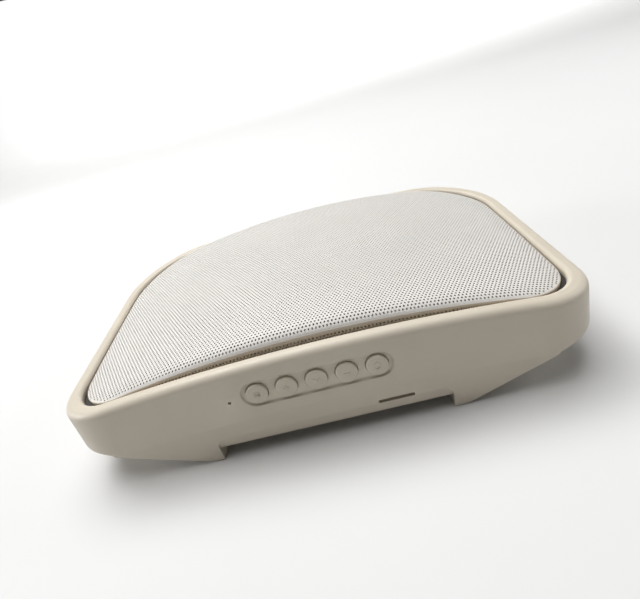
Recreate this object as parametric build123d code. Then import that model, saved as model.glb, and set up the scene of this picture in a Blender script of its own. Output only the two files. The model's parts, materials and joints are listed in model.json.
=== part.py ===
from build123d import *
import math
import os

# Water-resistant tabletop speaker: a cream moulded casing with a perforated metal grille on top, five push
# buttons and a card slot along the front, and a base shell whose two feet leave a wide channel under it.
# The origin is on the surface it stands on, under the middle of the body. X runs along the length, the
# buttons face -Y and +Z is up. All dimensions are in millimetres.

os.makedirs("parts", exist_ok=True)

# ---------- casing ----------
body_length = 188.2
body_depth = 125.0
widest_height = 12.0
front_corner_radius = 20.0
back_corner_radius = 37.0
wall_draft = 3.4
rim_height = 37.5
rim_arch_radius = 672.0
rim_width = 5.2
rim_thickness = 3.0
rim_outer_round = 2.8
rim_inner_round = 1.6
lower_edge_round = 2.5
end_underside = 13.6
wall = 2.4
parting_height = 17.0
parting_arch_radius = 860.0
end_floor = 2.0
opening_front_radius = 15.0
opening_back_radius = 32.0

# ---------- base shell ----------
foot_inner = 41.5
foot_land = 4.5
foot_slope = 22.5
foot_bend_radius = 12.0
foot_edge_round = 0.8
base_draft = 1.5
base_half_length = 77.9
base_floor = 2.0
skirt_height = 10.2
skirt_setback = 1.5
channel_height = 5.0
channel_corner = 4.0
lip_clearance = 0.15
lip_thickness = 1.5
lip_rise = 1.6
lip_reach = 9.0
seal_inset = wall + 1.1
seal_span = (0.3, 1.2)

# ---------- grille ----------
crown_height = 43.6
crown_radius_along = 318.0
crown_radius_across = 870.0
sheet_thickness = 0.8
grille_gap = 0.5
grille_front_radius = 18.0
grille_back_radius = 33.0
crown_crease_round = 1.5
grille_foot_drop = 3.05
cloth_thickness = 0.3
frame_width = 3.0
frame_height = 1.2
frame_reach = 1.8

# ---------- baffle, drivers and radiator ----------
baffle_top = 27.0
baffle_thickness = 2.5
baffle_inset = 2.6
baffle_notch_y = -49.4
baffle_boss_inset = 5.45
baffle_boss_radius = 1.65
baffle_notch_x = (-43.0, 37.0)
driver_x = 47.5
driver_flange_radius = 26.0
driver_hole_radius = 22.0
driver_screw_circle = 23.8
driver_gasket_thickness = 0.8
flange_seat = baffle_top + driver_gasket_thickness
flange_thickness = 1.5
magnet_radius = 14.0
magnet_bottom = 10.4
magnet_top = 15.2
damper_height = 19.0
cone_neck = 21.4
coil_radius = 8.1
coil_thickness = 0.4
coil_gap = 0.5
cone_radius = 18.6
surround_radius = 21.6
radiator_size = (41.0, 76.0)
radiator_plate = (23.5, 58.5)
radiator_surround = 4.5
radiator_corner = 9.0
radiator_gasket_thickness = 0.6
radiator_seat = baffle_top + radiator_gasket_thickness
radiator_frame_thickness = 1.6

# ---------- buttons ----------
button_row_centre = -1.0
button_pitch = 10.0
button_height = 26.2
button_names = ["mode_button", "plus_button", "play_button", "minus_button", "power_button"]
button_radius = 3.65
button_clearance = 0.2
button_proud = 1.35
button_round = 0.55
recess_depth = 0.8
recess_size = (50.6, 9.6)
recess_floor_round = 0.6
recess_rim_round = 0.5
flange_radius = 4.3
flange_height = 0.7
stem_radius = 1.2
stem_length = 3.0
travel = 0.5
mark_relief = 0.2
microphone_x = -30.8
microphone_height = 25.0
microphone_hole_radius = 0.55

# ---------- circuit boards, battery and sockets ----------
board_thickness = 1.2
button_board_x = (-41.0, 35.0)
button_board_height = 9.0
main_board_x = (-30.0, 38.0)
main_board_y = (-57.0, -30.0)
main_board_bottom = 8.6
main_board_top = main_board_bottom + board_thickness
card_slot_x = 22.7
card_slot_length = 12.2
card_slot_gap = 1.4
card_slot_height = main_board_top + 0.95
card_socket_size = (14.6, 15.0, 1.9)
charge_board_bottom = 9.6
charge_board_top = charge_board_bottom + board_thickness
charge_board_back = body_depth / 2 - wall - lip_clearance - lip_thickness - 0.4
charge_socket_size = (8.9, 7.4, 3.2)
charge_opening = (9.8, 4.0)
cell_size = (60.0, 40.0, 8.0)
cell_centre_y = 10.0
cell_bottom = 8.2
ribbon_x = -10.0
battery_lead_x = -6.0
lead_radius = 0.55
lead_bend = 1.6
lead_spacing = 1.8
lead_level = 14.6
battery_lead_level = 12.9

# ---------- fasteners ----------
case_boss_places = [(-60.0, -54.3), (60.0, -54.3), (-60.0, 54.3), (60.0, 54.3)]
case_boss_radius = 3.4
case_boss_joint = 16.8
case_boss_top = 24.0
case_screw_seat = 11.0
case_screw = {"shank": 1.2, "head": 2.2, "head_height": 1.7, "length": 12.0}
small_screw = {"shank": 0.95, "head": 1.8, "head_height": 1.2, "length": 4.4}
tiny_screw = {"shank": 0.75, "head": 1.4, "head_height": 1.0, "length": 4.0}
board_screw = {"shank": 0.75, "head": 1.4, "head_height": 1.0, "length": 3.0}
pilot_clearance = 0.05
through_clearance = 0.25


def save(shape, name, colour="lightgray"):
    """Write one node's solids to its own file."""
    solids = shape.solids()
    node = solids[0] if len(solids) == 1 else Compound(children=list(solids))
    node.label = name
    node.color = Color(colour)
    export_step(node, f"parts/{name}.step")


def group(shapes):
    """Separate solids that share one node."""
    return Compound(children=[shape.solids()[0] for shape in shapes])


# ---------- shared outlines and surfaces ----------
def plan(inset, front_radius=None, back_radius=None):
    """The body's outline seen from above, drawn in by inset, with its own front and back corner radii."""
    front_radius = front_corner_radius - inset if front_radius is None else front_radius
    back_radius = back_corner_radius - inset if back_radius is None else back_radius
    outline = Rectangle(body_length - 2 * inset, body_depth - 2 * inset)
    outline = fillet(outline.vertices().sort_by(Axis.Y)[:2], front_radius)
    return fillet(outline.vertices().sort_by(Axis.Y)[-2:], back_radius)


def base_plan(inset):
    """The base shell's outline: the body's, cut square where the underside meets the casing."""
    half = base_half_length - (inset - wall)
    return plan(inset) & Rectangle(2 * half, body_depth + 10)


def prism(outline, low, high):
    """An outline raised straight up between two heights."""
    return extrude(Pos(0, 0, low) * outline, high - low)


def drafted(inset, low=8.0, high=44.0):
    """The casing's drafted wall surface, drawn in by inset, narrowing upwards."""
    start = inset - (widest_height - low) * math.tan(math.radians(wall_draft))
    return extrude(Pos(0, 0, low) * plan(start), high - low, taper=wall_draft)


def under_arch(height, radius):
    """Everything under an arch that runs along the length and is highest at the middle."""
    return Pos(0, 0, height - radius) * Rot(X=90) * Cylinder(radius, body_depth + 40)


def under_rim(drop=0.0):
    return under_arch(rim_height - drop, rim_arch_radius - drop)


def under_parting(rise=0.0):
    return under_arch(parting_height + rise, parting_arch_radius + rise)


def under_crown(drop=0.0):
    """Everything under the grille's crown, which is arched along the length and slightly across it."""
    half = body_depth / 2 + 5
    across = crown_radius_across - drop
    along = crown_radius_along - drop
    edge = across - math.sqrt(across**2 - half**2)
    top = crown_height - drop
    arc = ThreePointArc((0, -half, top - edge), (0, 0, top), (0, half, top - edge))
    sides = Polyline((0, half, top - edge), (0, half, 5), (0, -half, 5), (0, -half, top - edge))
    profile = make_face(Wire([arc, *sides.edges()]))
    swing = 20.0
    axle = Axis((0, 0, crown_height - crown_radius_along), (0, 1, 0))
    return revolve(profile.rotate(axle, -swing), axle, 2 * swing)


def above_underside(rise=0.0):
    """Everything above the feet's flat lands and the slopes that rise from them to both ends."""
    run = body_length / 2 + 10 - foot_inner - foot_land
    climb = run * math.tan(math.radians(foot_slope))
    corner = foot_inner + foot_land
    end = corner + run
    route = FilletPolyline((-end, climb), (-corner, 0), (corner, 0), (end, climb), radius=foot_bend_radius)
    top = Polyline((end, climb), (end, 60), (-end, 60), (-end, climb))
    outline = make_face(Wire([*route.edges(), *top.edges()]))
    block = extrude(Plane.XZ * outline, body_depth / 2 + 10, both=True)
    return Pos(0, 0, rise) * block


def base_block():
    """The base's outer surface, which narrows downwards from the parting line."""
    start = (parting_height - widest_height) * math.tan(math.radians(wall_draft))
    return extrude(Pos(0, 0, parting_height) * plan(start), -parting_height - 2, taper=base_draft)


# ---------- front face frame ----------
def front_face(x, height):
    """A plane on the casing's sloping front wall, looking outwards, with its x along the length."""
    tilt = math.radians(wall_draft)
    y = -body_depth / 2 + (height - widest_height) * math.tan(tilt)
    return Plane(origin=(x, y, height), x_dir=(1, 0, 0), z_dir=(0, -math.cos(tilt), math.sin(tilt)))


def front_disc(x, height, radius, low, high):
    """A disc on the front face's normal, between two distances from the wall's outer surface."""
    return extrude(front_face(x, height).offset(low) * Circle(radius), high - low)


def front_block(x_range, tall, low, high, height=button_height):
    """A block on the front face's normal, centred on a height, between two distances from the wall."""
    width = x_range[1] - x_range[0]
    centre = (x_range[0] + x_range[1]) / 2
    return extrude(front_face(centre, height).offset(low) * Rectangle(width, tall), high - low)


def button_places():
    first = button_row_centre - button_pitch * (len(button_names) - 1) / 2
    return [first + button_pitch * i for i in range(len(button_names))]


# Distances from the front wall's outer surface to the pieces behind it.
button_top = button_proud - recess_depth
wall_back = -wall
flange_front = wall_back - 0.1
flange_back = flange_front - flange_height
mat_front = flange_back - travel - 0.1
mat_back = mat_front - 0.8
stem_end = flange_back - stem_length
plunger_top = stem_end - travel - 0.02
plunger_back = plunger_top - 0.5
board_front = plunger_back - 1.6
board_back = board_front - board_thickness
button_board_screw_x = (-37.5, 31.0)


# ---------- fasteners ----------
def screw(size):
    """A pan-head screw pointing up, with its head under the origin and a cross-shaped drive."""
    head = Pos(0, 0, -size["head_height"] / 2) * Cylinder(size["head"], size["head_height"])
    head = fillet(head.edges().sort_by(Axis.Z)[0], size["head_height"] * 0.4)
    shank = Pos(0, 0, size["length"] / 2) * Cylinder(size["shank"], size["length"])
    slot = Pos(0, 0, -size["head_height"]) * Box(size["head"] * 1.1, size["head"] * 0.28, size["head_height"])
    return head + shank - slot - Rot(Z=90) * slot


def upside_down(shape):
    return Rot(X=180) * shape


# ---------- casing ----------
def baffle_boss_places():
    """Points along the inside of the casing wall where the baffle plate is screwed up."""
    side = body_length / 2 - baffle_boss_inset
    end = body_depth / 2 - baffle_boss_inset
    on_sides = [(-side, -22), (side, -22), (-side, 18), (side, 18)]
    return on_sides + [(-48, -end), (48, -end), (-30, end), (30, end)]


def above_casing_underside():
    """Everything above the casing's rounded ends and, between them, a level well below the parting line."""
    slope = math.tan(math.radians(foot_slope))
    bend = base_half_length + 1.5
    low = bend - (end_underside + 4) / slope
    route = FilletPolyline(
        (-120, end_underside), (-bend, end_underside), (-low, -4), (low, -4), (bend, end_underside),
        (120, end_underside), radius=20,
    )
    top = Polyline((120, end_underside), (120, 60), (-120, 60), (-120, end_underside))
    outline = make_face(Wire([*route.edges(), *top.edges()]))
    return extrude(Plane.XZ * outline, body_depth / 2 + 10, both=True)


def make_upper_casing():
    block = drafted(0.0, -6.0) & under_rim() & above_casing_underside()
    lower_edges = [e for f in underside_faces(block) for e in f.edges() if is_outer(e)]
    block = fillet(lower_edges, lower_edge_round) - under_parting()
    block = fillet(block.faces().sort_by(Axis.Z)[-1].edges(), rim_outer_round)
    mouth = plan(opening_inset(), opening_front_radius, opening_back_radius)
    casing = block - prism(mouth, baffle_top, crown_height)
    casing = fillet(casing.edges().filter_by(on_rim_mouth), rim_inner_round)
    hollow = drafted(wall) & under_rim(rim_thickness)
    casing = casing - (hollow - under_parting(end_floor))
    casing = casing - (prism(base_plan(wall), 5, 20) & under_parting(end_floor + 1))
    casing = casing - button_recess()
    casing = fillet(casing.edges().filter_by(on_recess_rim), recess_rim_round)
    return casing + casing_bosses() - casing_cuts()


def underside_faces(block):
    """The faces of a solid that look down."""
    return [f for f in block.faces() if f.normal_at().Z < -0.5]


def is_outer(edge):
    """True for an edge that lies along the body's outline rather than across it."""
    box = edge.bounding_box()
    across = box.size.Y > body_depth / 2 and box.size.X < 0.01 and abs(edge.center().X) < base_half_length + 8
    return not across


def on_rim_mouth(edge):
    """True for the edges where the opening's wall meets the arched rim."""
    centre = edge.center()
    inside_x = abs(centre.X) < body_length / 2 - opening_inset() + 0.3
    inside_y = abs(centre.Y) < body_depth / 2 - opening_inset() + 0.3
    low, high = edge.bounding_box().min.Z, edge.bounding_box().max.Z
    return inside_x and inside_y and low > 28.0 and high - low < 8.0


def button_recess():
    """The shallow round-ended recess that the button row sits in, with a rounded floor edge."""
    face = front_face(button_row_centre, button_height)
    cutter = extrude(face.offset(-recess_depth) * SlotOverall(*recess_size), 4)
    floor = cutter.faces().sort_by(Axis.Y)[-1]
    return fillet(floor.edges(), recess_floor_round)


def on_recess_rim(edge):
    """True for the edges where the button recess meets the casing's outer wall."""
    place = front_face(button_row_centre, button_height).to_local_coords(edge.center())
    inside_x = abs(place.X) < recess_size[0] / 2 + 0.1
    inside_y = abs(place.Y) < recess_size[1] / 2 + 0.1
    return inside_x and inside_y and abs(place.Z) < 0.1


def casing_bosses():
    """Screw bosses for the base shell, the baffle plate and the button board."""
    bosses = None
    for x, y in case_boss_places:
        tall = case_boss_top - case_boss_joint
        middle = case_boss_joint + tall / 2
        post = Pos(x, y, middle) * Cylinder(case_boss_radius, tall)
        rib = Pos(x, math.copysign(body_depth / 2 - 5.6, y), middle) * Box(2.4, 7.0, tall)
        bosses = post + rib if bosses is None else bosses + post + rib
    reach = rim_height - 1.5 - baffle_top
    for x, y in baffle_boss_places():
        bosses = bosses + Pos(x, y, baffle_top + reach / 2) * Cylinder(baffle_boss_radius, reach)
    bosses = bosses & drafted(wall / 2) & under_rim(rim_thickness)
    for x in button_board_screw_x:
        bosses = bosses + front_disc(x, button_height, 2.5, board_front, wall_back + 0.6)
    return bosses


def casing_cuts():
    """The button and microphone holes and the screws' pilot holes."""
    cuts = front_disc(microphone_x, microphone_height, microphone_hole_radius, wall_back - 1, 1)
    for x in button_places():
        cuts = cuts + front_disc(x, button_height, button_radius + button_clearance, wall_back - 1, 1)
    for x, y in case_boss_places:
        cuts = cuts + Pos(x, y, case_boss_joint + 3.0) * Cylinder(case_screw["shank"] + pilot_clearance, 7.0)
    for x, y in baffle_boss_places():
        cuts = cuts + Pos(x, y, baffle_top) * Cylinder(small_screw["shank"] + pilot_clearance, 4.2)
    for x in button_board_screw_x:
        radius = tiny_screw["shank"] + pilot_clearance
        cuts = cuts + front_disc(x, button_height, radius, board_front - 1, board_front + 3.6)
    return cuts


# ---------- base shell ----------
def belly():
    """The lower part of the body between the feet, with its front and back skirts undercut below a crease."""
    top = base_front(parting_height)
    crease = base_front(skirt_height)
    front = [(top - 1, parting_height + 1), (top - 1, skirt_height + 0.01), (crease, skirt_height)]
    front.append((base_front(channel_height) + skirt_setback, channel_height))
    back = [(-y, z) for y, z in reversed(front)]
    outline = make_face(Polyline(*front, *back, close=True))
    return extrude(Plane.YZ * outline, foot_inner, both=True)


def base_front(height):
    """How far forward the base's front wall stands at a height, between the feet."""
    start = (parting_height - widest_height) * math.tan(math.radians(wall_draft))
    return -body_depth / 2 + start + (parting_height - height) * math.tan(math.radians(base_draft))


def channel():
    """The notch between the feet, right through from front to back, with rounded upper corners."""
    notch = Pos(0, skirt_height / 2 - 5) * Rectangle(2 * foot_inner, skirt_height + 10)
    notch = fillet(notch.vertices().sort_by(Axis.Y)[-2:], channel_corner)
    return extrude(Plane.XZ * notch, body_depth / 2 + 10, both=True)


def base_ring(outer, inner, low, high):
    """A ring that follows the base shell's outline and lies between two levels above the parting line."""
    ring = prism(base_plan(outer) - base_plan(inner), 5, 22) & under_parting(high)
    return ring - under_parting(low)


def base_bosses():
    tall = case_boss_joint - 0.3
    bosses = sum_of(Pos(x, y, tall / 2) * Cylinder(case_boss_radius, tall) for x, y in case_boss_places)
    for x, y in main_board_screws():
        bosses = bosses + Pos(x, y, main_board_bottom - 2) * Cylinder(2.0, 4)
    for x, y in charge_board_screws():
        bosses = bosses + Pos(x, y, charge_board_bottom - 2.5) * Cylinder(2.0, 5)
    return bosses


def main_board_screws():
    x0, x1 = main_board_x
    y0, y1 = main_board_y
    return [(x0 + 2.5, y1 - 2.5), (x1 - 2.5, y1 - 2.5), (x0 + 2.5, y0 + 2.5)]


def charge_board_screws():
    return [(-9.0, body_depth / 2 - 16), (9.0, body_depth / 2 - 16)]


def make_base_shell():
    hull = base_block() & above_underside()
    lower_edges = [e for f in underside_faces(hull) for e in f.edges() if is_outer(e)]
    hull = fillet(lower_edges, foot_edge_round) & under_parting()
    hull = hull & Box(2 * base_half_length - 0.4, body_depth, 60)
    lip = prism(base_plan(wall + lip_clearance), parting_height - lip_reach, 22)
    lip = lip & under_parting(lip_rise) & above_underside()
    shell = hull + lip - channel()
    shell = shell + (belly() & hull)
    inside = wall + lip_clearance + lip_thickness
    hollow = prism(base_plan(inside), base_floor, 20) & above_underside(base_floor)
    side_walls = Box(2 * (foot_inner + 2), body_depth, 40)
    core = prism(base_plan(inside), channel_height + base_floor, 20)
    shell = shell - (hollow - side_walls) - (core & side_walls)
    shell = shell + (base_bosses() & above_underside(base_floor / 2) & prism(base_plan(inside - 0.5), 0, 30))
    shell = shell - base_ring(wall, seal_inset, seal_span[0] - 0.05, seal_span[1] + 0.05)
    return shell - base_cuts()


def base_cuts():
    """The card slot, the charging port and the holes for the screws."""
    front = -body_depth / 2
    cuts = Pos(card_slot_x, front + 2, card_slot_height) * Box(card_slot_length, 8, card_slot_gap)
    port = extrude(Plane.XZ * SlotOverall(*charge_opening), 4, both=True)
    cuts = cuts + Pos(0, body_depth / 2 - 1.5, charge_board_top + charge_socket_size[2] / 2) * port
    for x, y in case_boss_places:
        cuts = cuts + Pos(x, y, 10) * Cylinder(case_screw["shank"] + through_clearance, 40)
        well = Cylinder(case_screw["head"] + 0.4, case_screw_seat + 10)
        cuts = cuts + Pos(x, y, case_screw_seat / 2 - 5) * well
    for x, y in main_board_screws():
        cuts = cuts + Pos(x, y, main_board_bottom) * Cylinder(tiny_screw["shank"] + pilot_clearance, 4.4)
    for x, y in charge_board_screws():
        cuts = cuts + Pos(x, y, charge_board_bottom) * Cylinder(tiny_screw["shank"] + pilot_clearance, 5.6)
    return cuts


def make_casing_seal():
    return base_ring(wall + 0.05, seal_inset - 0.05, *seal_span)


# ---------- grille ----------
def opening_inset():
    return rim_width + (rim_height - widest_height) * math.tan(math.radians(wall_draft))


def grille_outline(inset):
    return plan(opening_inset() + grille_gap + inset, grille_front_radius - inset, grille_back_radius - inset)


def make_grille():
    """The pressed sheet: a crown with a rounded crease and a side wall that stands on the grille frame."""
    outer = prism(grille_outline(0), 15, 44) & under_crown()
    outer = fillet(outer.faces().sort_by(Axis.Z)[-1].edges(), crown_crease_round)
    inner = prism(grille_outline(sheet_thickness), 14, 44) & under_crown(sheet_thickness)
    return outer - inner - under_rim(grille_foot_drop)


def make_grille_cloth():
    top = under_crown(sheet_thickness + 0.1)
    below = under_crown(sheet_thickness + 0.1 + cloth_thickness)
    return (prism(grille_outline(crown_crease_round + 1), 20, 44) & top) - below


def make_grille_frame():
    """The ring that the grille stands on, hooked under the casing's rim and cut away round the bosses."""
    low = grille_foot_drop + 0.05 + frame_height
    outline = plan(opening_inset() - frame_reach, 17.0, 33.5) - grille_outline(frame_width)
    ring = (prism(outline, 20, 40) & under_rim(grille_foot_drop + 0.05)) - under_rim(low)
    for x, y in baffle_boss_places():
        ring = ring - Pos(x, y, 30) * Cylinder(baffle_boss_radius + 0.3, 20)
    return ring


# ---------- baffle, drivers and radiator ----------
def ring(outer, inner, low, high):
    height = high - low
    return Pos(0, 0, (low + high) / 2) * (Cylinder(outer, height) - Cylinder(inner, height))


def turned(points):
    """A ring turned from a closed outline of (radius, height) points."""
    return revolve(make_face(Plane.XZ * Polyline(*points, close=True)), Axis.Z)


def driver_centres():
    return {"left": -driver_x, "right": driver_x}


def driver_screw_places(x):
    return [polar(x, driver_screw_circle, 45 + 90 * i) for i in range(4)]


def polar(x, radius, degrees):
    angle = math.radians(degrees)
    return (x + radius * math.cos(angle), radius * math.sin(angle))


def radiator_screw_places():
    half_x, half_y = radiator_size[0] / 2 - 3.2, radiator_size[1] / 2 - 3.2
    return [(sx * half_x, sy * half_y) for sx in (-1, 1) for sy in (-1, 1)]


def rounded(size, radius):
    return RectangleRounded(size[0], size[1], radius)


def shrunk(size, by):
    return (size[0] - 2 * by, size[1] - 2 * by)


def make_baffle_plate():
    low = baffle_top - baffle_thickness
    plate = prism(plan(baffle_inset + 1.3), low, baffle_top)
    x0, x1 = baffle_notch_x
    notch_depth = baffle_notch_y + body_depth / 2
    notch = Pos((x0 + x1) / 2, baffle_notch_y - notch_depth / 2) * Rectangle(x1 - x0, notch_depth)
    plate = plate - prism(notch, low, baffle_top)
    for x in driver_centres().values():
        plate = plate - Pos(x, 0, low) * Cylinder(driver_hole_radius, 12)
    plate = plate - prism(rounded(shrunk(radiator_size, 4.5), 7.5), low, baffle_top)
    for x, y in baffle_boss_places():
        plate = plate - Pos(x, y, low) * Cylinder(small_screw["shank"] + through_clearance, 12)
    pilot = tiny_screw["shank"] + pilot_clearance
    for x, y in driver_and_radiator_screws():
        plate = plate - Pos(x, y, low) * Cylinder(pilot, 12)
    return plate


def driver_and_radiator_screws():
    places = [place for x in driver_centres().values() for place in driver_screw_places(x)]
    return places + radiator_screw_places()


def make_driver_gasket(x):
    gasket = ring(driver_flange_radius, driver_hole_radius, baffle_top, flange_seat)
    for px, py in driver_screw_places(0):
        gasket = gasket - Pos(px, py, flange_seat) * Cylinder(tiny_screw["shank"] + 0.1, 4)
    return Pos(x, 0, 0) * gasket


def make_driver_basket(x):
    """The pressed frame: a flange, four spokes, a shelf for the damper and a seat for the magnet."""
    top = flange_seat + flange_thickness
    cup = turned(
        [
            (surround_radius - 1.6, top - 0.6), (driver_flange_radius, top - 0.6),
            (driver_flange_radius, flange_seat),
            (driver_hole_radius - 0.6, flange_seat), (17.6, damper_height - 0.8), (magnet_radius, magnet_top),
            (9.6, magnet_top), (9.6, magnet_top + 1.2), (14.2, magnet_top + 1.2),
            (15.4, damper_height), (16.6, damper_height), (20.0, flange_seat),
        ]
    )
    cup = cup + ring(driver_flange_radius, surround_radius + 0.3, top - 0.7, top)
    window_middle = (magnet_top + flange_seat) / 2 + 1.6
    for i in range(4):
        cup = cup - Rot(Z=90 * i) * Pos(16.0, 0, window_middle) * Box(18.0, 13.0, 5.2)
    for px, py in driver_screw_places(0):
        cup = cup - Pos(px, py, top) * Cylinder(tiny_screw["shank"] + 0.2, 6)
    return Pos(x, 0, 0) * cup


def make_driver_magnet(x):
    """The magnet in its steel cup, with the ring-shaped gap that the voice coil moves in."""
    inner = coil_radius - coil_thickness / 2 - coil_gap
    outer = coil_radius + coil_thickness / 2 + coil_gap
    floor = magnet_bottom + 1.4
    profile = [
        (0, magnet_bottom), (magnet_radius, magnet_bottom), (magnet_radius, magnet_top),
        (outer, magnet_top), (outer, floor), (inner, floor), (inner, magnet_top), (0, magnet_top),
    ]
    return Pos(x, 0, 0) * turned(profile)


def make_voice_coil(x):
    outer = coil_radius + coil_thickness / 2
    return Pos(x, 0, 0) * ring(outer, outer - coil_thickness, magnet_top - 2.2, cone_neck)


def make_driver_cone(x):
    inner = coil_radius + coil_thickness / 2
    lip_top = flange_seat + 0.9
    profile = [
        (inner, cone_neck - 0.6), (inner + 0.7, cone_neck - 0.6), (cone_radius - 1.0, lip_top - 0.5),
        (cone_radius, lip_top - 0.5), (cone_radius, lip_top), (cone_radius - 1.3, lip_top),
        (inner, cone_neck + 0.5),
    ]
    return Pos(x, 0, 0) * turned(profile)


def dome(radius, rise, thickness):
    """A thin spherical cap standing on the ground plane."""
    sphere_radius = (radius**2 + rise**2) / (2 * rise)
    cap = Pos(0, 0, rise - sphere_radius) * (Sphere(sphere_radius) - Sphere(sphere_radius - thickness))
    return cap & Pos(0, 0, rise) * Box(3 * radius, 3 * radius, 2 * rise)


def make_dust_cap(x):
    return Pos(x, 0, cone_neck + 0.02) * dome(coil_radius - coil_thickness / 2 - 0.1, 2.2, 0.4)


def make_surround(x):
    """The half-round rubber roll between the cone and the flange."""
    base = flange_seat + 0.95
    middle = (cone_radius + surround_radius) / 2
    width = (surround_radius - cone_radius) / 2 - 0.4
    skin = 0.35
    foot = ring(surround_radius, cone_radius - 1.0, base, base + 0.3)
    under_roll = ring(middle + width - skin, middle - width + skin, base - 1, base + 1)
    tube = Torus(middle, width) - Torus(middle, width - skin)
    roll = Pos(0, 0, base + 0.1) * (tube & Pos(0, 0, 5) * Box(60, 60, 10))
    return Pos(x, 0, 0) * (foot - under_roll + roll)


def make_damper(x):
    """The flat corrugated ring that centres the voice coil."""
    steps = 5
    inner = coil_radius + coil_thickness / 2 + 0.1
    pitch = (15.6 - inner) / steps
    upper = []
    for i in range(steps + 1):
        upper.append((inner + i * pitch, damper_height + 0.05 + (0.5 if i % 2 else 0.0)))
    lower = [(r, z + 0.35) for r, z in reversed(upper)]
    return Pos(x, 0, 0) * turned(upper + lower)


def make_radiator_gasket():
    outline = rounded(radiator_size, 8.0) - rounded(shrunk(radiator_size, 4.5), 7.5)
    gasket = prism(outline, baffle_top, radiator_seat)
    for x, y in radiator_screw_places():
        gasket = gasket - Pos(x, y, baffle_top) * Cylinder(tiny_screw["shank"] + 0.1, 4)
    return gasket


def make_radiator_frame():
    outline = rounded(radiator_size, 8.0) - rounded(shrunk(radiator_size, 4.0), 7.5)
    frame = prism(outline, radiator_seat, radiator_seat + radiator_frame_thickness)
    for x, y in radiator_screw_places():
        frame = frame - Pos(x, y, baffle_top) * Cylinder(tiny_screw["shank"] + 0.2, 12)
    return frame


def make_radiator_plate():
    plate = prism(rounded(radiator_plate, radiator_corner), radiator_seat + 0.2, radiator_seat + 1.4)
    return fillet(plate.faces().sort_by(Axis.Z)[-1].edges(), 0.5)


def make_radiator_surround():
    """A rubber band with a raised roll, bonded to the plate inside it and the frame outside it."""
    low = radiator_seat + 0.3
    plate = radiator_plate
    outer = (plate[0] + 2 * radiator_surround - 0.4, plate[1] + 2 * radiator_surround - 0.4)
    band = rounded(outer, 13) - rounded((plate[0] + 0.1, plate[1] + 0.1), 9.05)
    middle = rounded(shrunk(outer, 1.0), 12) - rounded((plate[0] + 2.0, plate[1] + 2.0), 10)
    sheet = prism(band, low, low + 0.5)
    roll = prism(middle, low, low + 1.4)
    roll = fillet(roll.faces().sort_by(Axis.Z)[-1].edges(), 0.8)
    under = rounded(shrunk(outer, 1.8), 11.2) - rounded((plate[0] + 3.6, plate[1] + 3.6), 10.8)
    return sheet + roll - prism(under, low - 1, low + 0.8)


# ---------- buttons ----------
def mark(name):
    """The raised symbol on a button's face, drawn about the face's centre."""
    line = 0.34
    if name == "plus_button":
        return Rectangle(2.1, line) + Rectangle(line, 2.1)
    if name == "minus_button":
        return Rectangle(2.1, line)
    if name == "play_button":
        arrow = make_face(Polyline((-1.1, -0.95), (0.5, 0.0), (-1.1, 0.95), close=True))
        return arrow + Pos(1.05, 0) * Rectangle(line, 1.9)
    if name == "power_button":
        circle = Circle(1.25) - Circle(1.25 - line) - Pos(0, 1.0) * Rectangle(1.1, 1.2)
        return circle + Pos(0, 0.85) * Rectangle(line, 1.3)
    return sum_of(Pos(0, 0.75 * i) * Rectangle(2.0, line) for i in (-1, 0, 1))


def sum_of(shapes):
    total = None
    for shape in shapes:
        total = shape if total is None else total + shape
    return total


def make_button(name, x):
    cap = front_disc(x, button_height, button_radius, flange_back, button_top)
    cap = fillet(cap.faces().sort_by(Axis.Y)[0].edges(), button_round)
    flange = front_disc(x, button_height, flange_radius, flange_back, flange_front)
    stem = front_disc(x, button_height, stem_radius, stem_end, flange_back)
    relief = extrude(front_face(x, button_height).offset(button_top - 0.1) * mark(name), mark_relief + 0.1)
    return cap + flange + stem + relief


def make_button_mat():
    """The silicone mat behind the buttons, with a raised rim that seals against the casing wall."""
    half = 27.2
    reach = (button_row_centre - half, button_row_centre + half)
    pocket = (reach[0] + 0.9, reach[1] - 0.9)
    mat = front_block(reach, 10.6, mat_back, wall_back - 0.02)
    mat = mat - front_block(pocket, 8.9, mat_front, wall_back + 1)
    for x in button_places():
        mat = mat - front_disc(x, button_height, stem_radius + 0.25, mat_back - 1, wall_back)
    return mat


def make_tact_switches():
    switches = []
    for x in button_places():
        body = front_block((x - 2.3, x + 2.3), 4.6, board_front, plunger_back)
        plunger = front_disc(x, button_height, 1.1, plunger_back, plunger_top)
        switches.append(body + plunger)
    return group(switches)


def make_button_board():
    board = front_block(button_board_x, button_board_height, board_back, board_front)
    radius = tiny_screw["shank"] + 0.15
    for x in button_board_screw_x:
        board = board - front_disc(x, button_height, radius, board_back - 1, board_front + 1)
    return board


def make_microphone():
    reach = (microphone_x - 1.6, microphone_x + 1.6)
    return front_block(reach, 2.6, board_front, board_front + 1.0, microphone_height)


def make_microphone_boot():
    boot = front_disc(microphone_x, microphone_height, 1.7, board_front + 1.0, wall_back)
    return boot - front_disc(microphone_x, microphone_height, 0.8, board_front, wall_back + 1)


# ---------- electronics ----------
def make_main_board():
    x0, x1 = main_board_x
    y0, y1 = main_board_y
    outline = Pos((x0 + x1) / 2, (y0 + y1) / 2) * RectangleRounded(x1 - x0, y1 - y0, 1.5)
    board = prism(outline, main_board_bottom, main_board_top)
    for x, y in main_board_screws():
        board = board - Pos(x, y, main_board_top) * Cylinder(tiny_screw["shank"] + 0.15, 6)
    return board


def on_board(x, y, size, top):
    """A block standing on a board, given its centre in plan."""
    return Pos(x, y, top + size[2] / 2) * Box(*size)


def make_wireless_module():
    module = on_board(-14.0, -40.0, (15.0, 12.0, 0.8), main_board_top)
    can = on_board(-15.5, -40.0, (10.0, 10.0, 1.4), main_board_top + 0.8)
    return module + fillet(can.edges().filter_by(Axis.Z), 0.6)


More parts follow.
